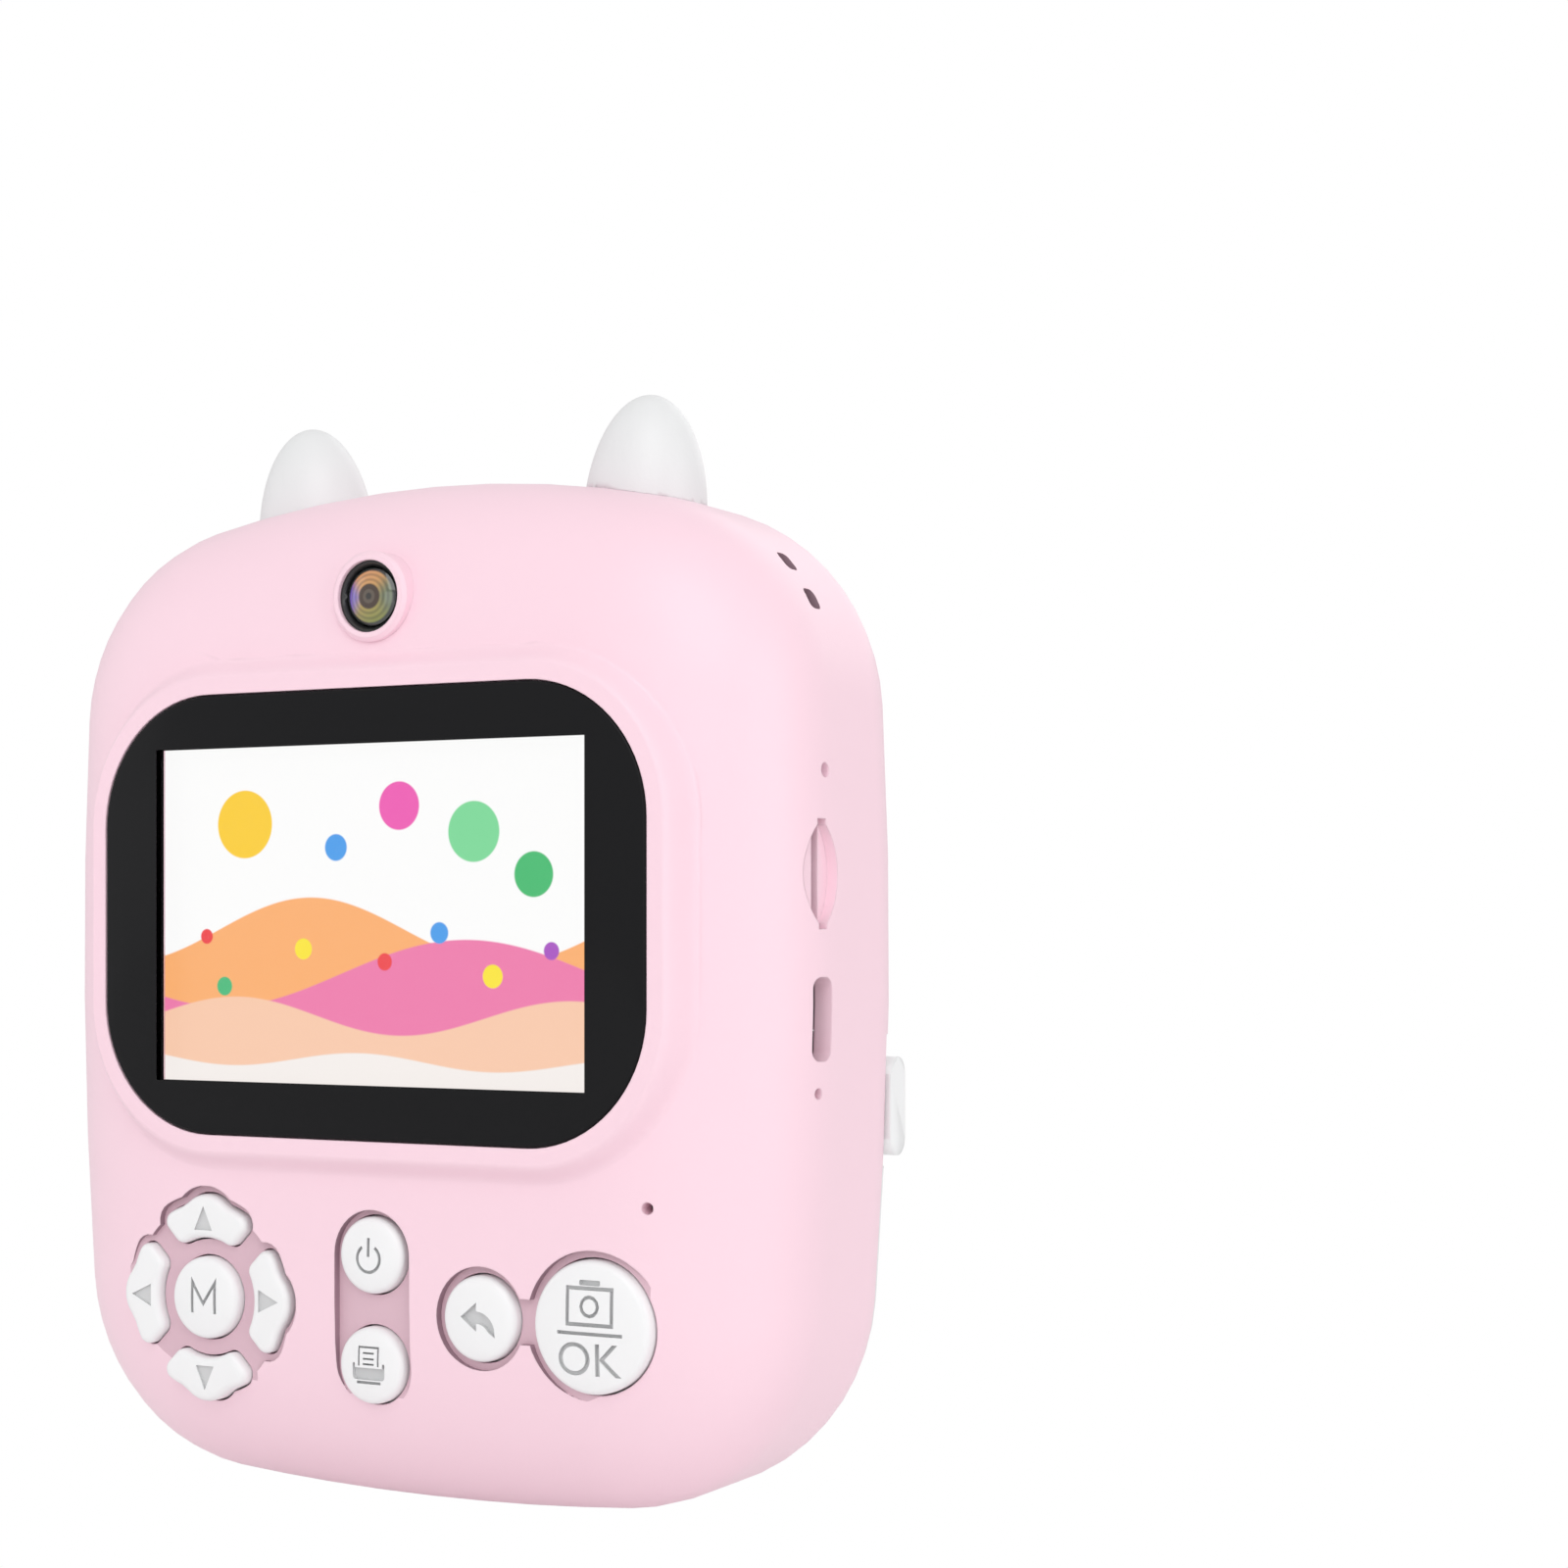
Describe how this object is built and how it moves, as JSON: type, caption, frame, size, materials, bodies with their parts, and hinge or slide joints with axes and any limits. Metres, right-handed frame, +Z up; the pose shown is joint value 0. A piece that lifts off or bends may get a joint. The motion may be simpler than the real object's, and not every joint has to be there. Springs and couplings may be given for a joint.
{
  "type": "kids instant print camera",
  "caption": "Rounded handheld camera with cat ears, rear display, keypad, lens barrel and a hinged paper door over a thermal printer.",
  "frame": {"origin": "bottom centre of the whole camera: midway across its width and its full depth, on the resting flat", "axes": "+Z up to the ears, -Y out of the screen, +Y out of the main lens, +X to the right of a user who looks at the screen"},
  "size_m": [0.0934, 0.05, 0.1172],
  "materials": {
    "pink_plastic": "satin moulded ABS",
    "white_plastic": "satin moulded ABS",
    "key_plastic": "satin",
    "black_plastic": "gloss",
    "display_glass": "polished, with a clear picture area",
    "display_panel": "lit panel",
    "steel": "plain",
    "lens_glass": "coated glass",
    "circuit_board": "solder mask",
    "silicone": "matt",
    "battery_foil": "foil pouch",
    "speaker_black": "matt",
    "light_pipe": "clear moulding",
    "bay_plastic": "matt",
    "gear_plastic": "acetal",
    "platen_rubber": "matt",
    "cardboard": "cardboard, filed under fabric",
    "thermal_paper": "smooth paper, filed under fabric"
  },
  "bodies": {
    "camera": {"screen_shell": "pink_plastic", "lens_shell": "pink_plastic", "ear_left": "white_plastic", "ear_right": "white_plastic", "display_window": "display_glass", "lcd_panel": "display_panel", "lcd_bracket": "steel", "selfie_bezel": "black_plastic", "selfie_lens": "lens_glass", "selfie_module": "circuit_board", "lens_plate": "white_plastic", "lens_barrel": "white_plastic", "lens_bezel": "black_plastic", "main_lens": "lens_glass", "camera_module": "circuit_board", "lens_cap": "pink_plastic", "key_membrane": "silicone", "key_board": "circuit_board", "main_board": "circuit_board", "board_screws": "steel", "battery": "battery_foil", "speaker": "speaker_black", "microphone": "steel", "status_led": "light_pipe", "reset_switch": "steel", "usb_socket": "steel", "card_socket": "steel", "paper_bay": "bay_plastic", "bay_screws": "steel", "printer_frame": "steel", "print_head": "speaker_black", "feed_motor": "steel", "idler_pin": "steel", "hinge_pins": "steel"},
    "up_button": {"up_key": "key_plastic"},
    "down_button": {"down_key": "key_plastic"},
    "left_button": {"left_key": "key_plastic"},
    "right_button": {"right_key": "key_plastic"},
    "menu_button": {"menu_key": "key_plastic"},
    "power_button": {"power_key": "key_plastic"},
    "print_button": {"print_key": "key_plastic"},
    "back_button": {"back_key": "key_plastic"},
    "shutter_button": {"shutter_key": "key_plastic"},
    "door": {"paper_door": "white_plastic", "latch_springs": "steel"},
    "latch_l": {"latch_left": "white_plastic"},
    "latch_r": {"latch_right": "white_plastic"},
    "platen": {"platen_shaft": "steel", "platen_roller": "platen_rubber", "platen_gear": "gear_plastic"},
    "idler": {"idler_gear": "gear_plastic"},
    "pinion": {"motor_pinion": "gear_plastic"},
    "roll": {"roll_core": "cardboard", "paper_roll": "thermal_paper"}
  },
  "joints": [
    {"name": "up_press", "type": "slide", "parent": "camera", "child": "up_button", "axis": [0, 1, 0], "range_m": [0, 0.0006], "stiffness_N_per_m": 1200, "springref_m": -0.0003},
    {"name": "down_press", "type": "slide", "parent": "camera", "child": "down_button", "axis": [0, 1, 0], "range_m": [0, 0.0006], "stiffness_N_per_m": 1200, "springref_m": -0.0003},
    {"name": "left_press", "type": "slide", "parent": "camera", "child": "left_button", "axis": [0, 1, 0], "range_m": [0, 0.0006], "stiffness_N_per_m": 1200, "springref_m": -0.0003},
    {"name": "right_press", "type": "slide", "parent": "camera", "child": "right_button", "axis": [0, 1, 0], "range_m": [0, 0.0006], "stiffness_N_per_m": 1200, "springref_m": -0.0003},
    {"name": "menu_press", "type": "slide", "parent": "camera", "child": "menu_button", "axis": [0, 1, 0], "range_m": [0, 0.0006], "stiffness_N_per_m": 1200, "springref_m": -0.0003},
    {"name": "power_press", "type": "slide", "parent": "camera", "child": "power_button", "axis": [0, 1, 0], "range_m": [0, 0.0006], "stiffness_N_per_m": 1200, "springref_m": -0.0003},
    {"name": "print_press", "type": "slide", "parent": "camera", "child": "print_button", "axis": [0, 1, 0], "range_m": [0, 0.0006], "stiffness_N_per_m": 1200, "springref_m": -0.0003},
    {"name": "back_press", "type": "slide", "parent": "camera", "child": "back_button", "axis": [0, 1, 0], "range_m": [0, 0.0006], "stiffness_N_per_m": 1200, "springref_m": -0.0003},
    {"name": "shutter_press", "type": "slide", "parent": "camera", "child": "shutter_button", "axis": [0, 1, 0], "range_m": [0, 0.0006], "stiffness_N_per_m": 1200, "springref_m": -0.0003},
    {"name": "door_hinge", "type": "hinge", "parent": "camera", "child": "door", "pos_m": [0, 0.006, 0.004], "axis": [-1, 0, 0], "range_deg": [0, 90]},
    {"name": "latch_left_slide", "type": "slide", "parent": "door", "child": "latch_l", "axis": [1, 0, 0], "range_m": [0, 0.0012], "stiffness_N_per_m": 500, "springref_m": -0.001},
    {"name": "latch_right_slide", "type": "slide", "parent": "door", "child": "latch_r", "axis": [-1, 0, 0], "range_m": [0, 0.0012], "stiffness_N_per_m": 500, "springref_m": -0.001},
    {"name": "platen_spin", "type": "hinge", "parent": "door", "child": "platen", "pos_m": [0, 0.008, 0.0446], "axis": [1, 0, 0], "continuous": true},
    {"name": "idler_spin", "type": "hinge", "parent": "camera", "child": "idler", "pos_m": [-0.033, 0.0018, 0.04908], "axis": [1, 0, 0], "continuous": true},
    {"name": "pinion_spin", "type": "hinge", "parent": "camera", "child": "pinion", "pos_m": [-0.033, -0.0007, 0.0555], "axis": [1, 0, 0], "continuous": true},
    {"name": "roll_spin", "type": "hinge", "parent": "camera", "child": "roll", "pos_m": [0, -0.0006, 0.0195], "axis": [1, 0, 0], "continuous": true}
  ],
  "couplings": [
    {"joint": "idler_spin", "follows": "platen_spin", "ratio": -0.66667},
    {"joint": "pinion_spin", "follows": "platen_spin", "ratio": 1.3333}
  ]
}
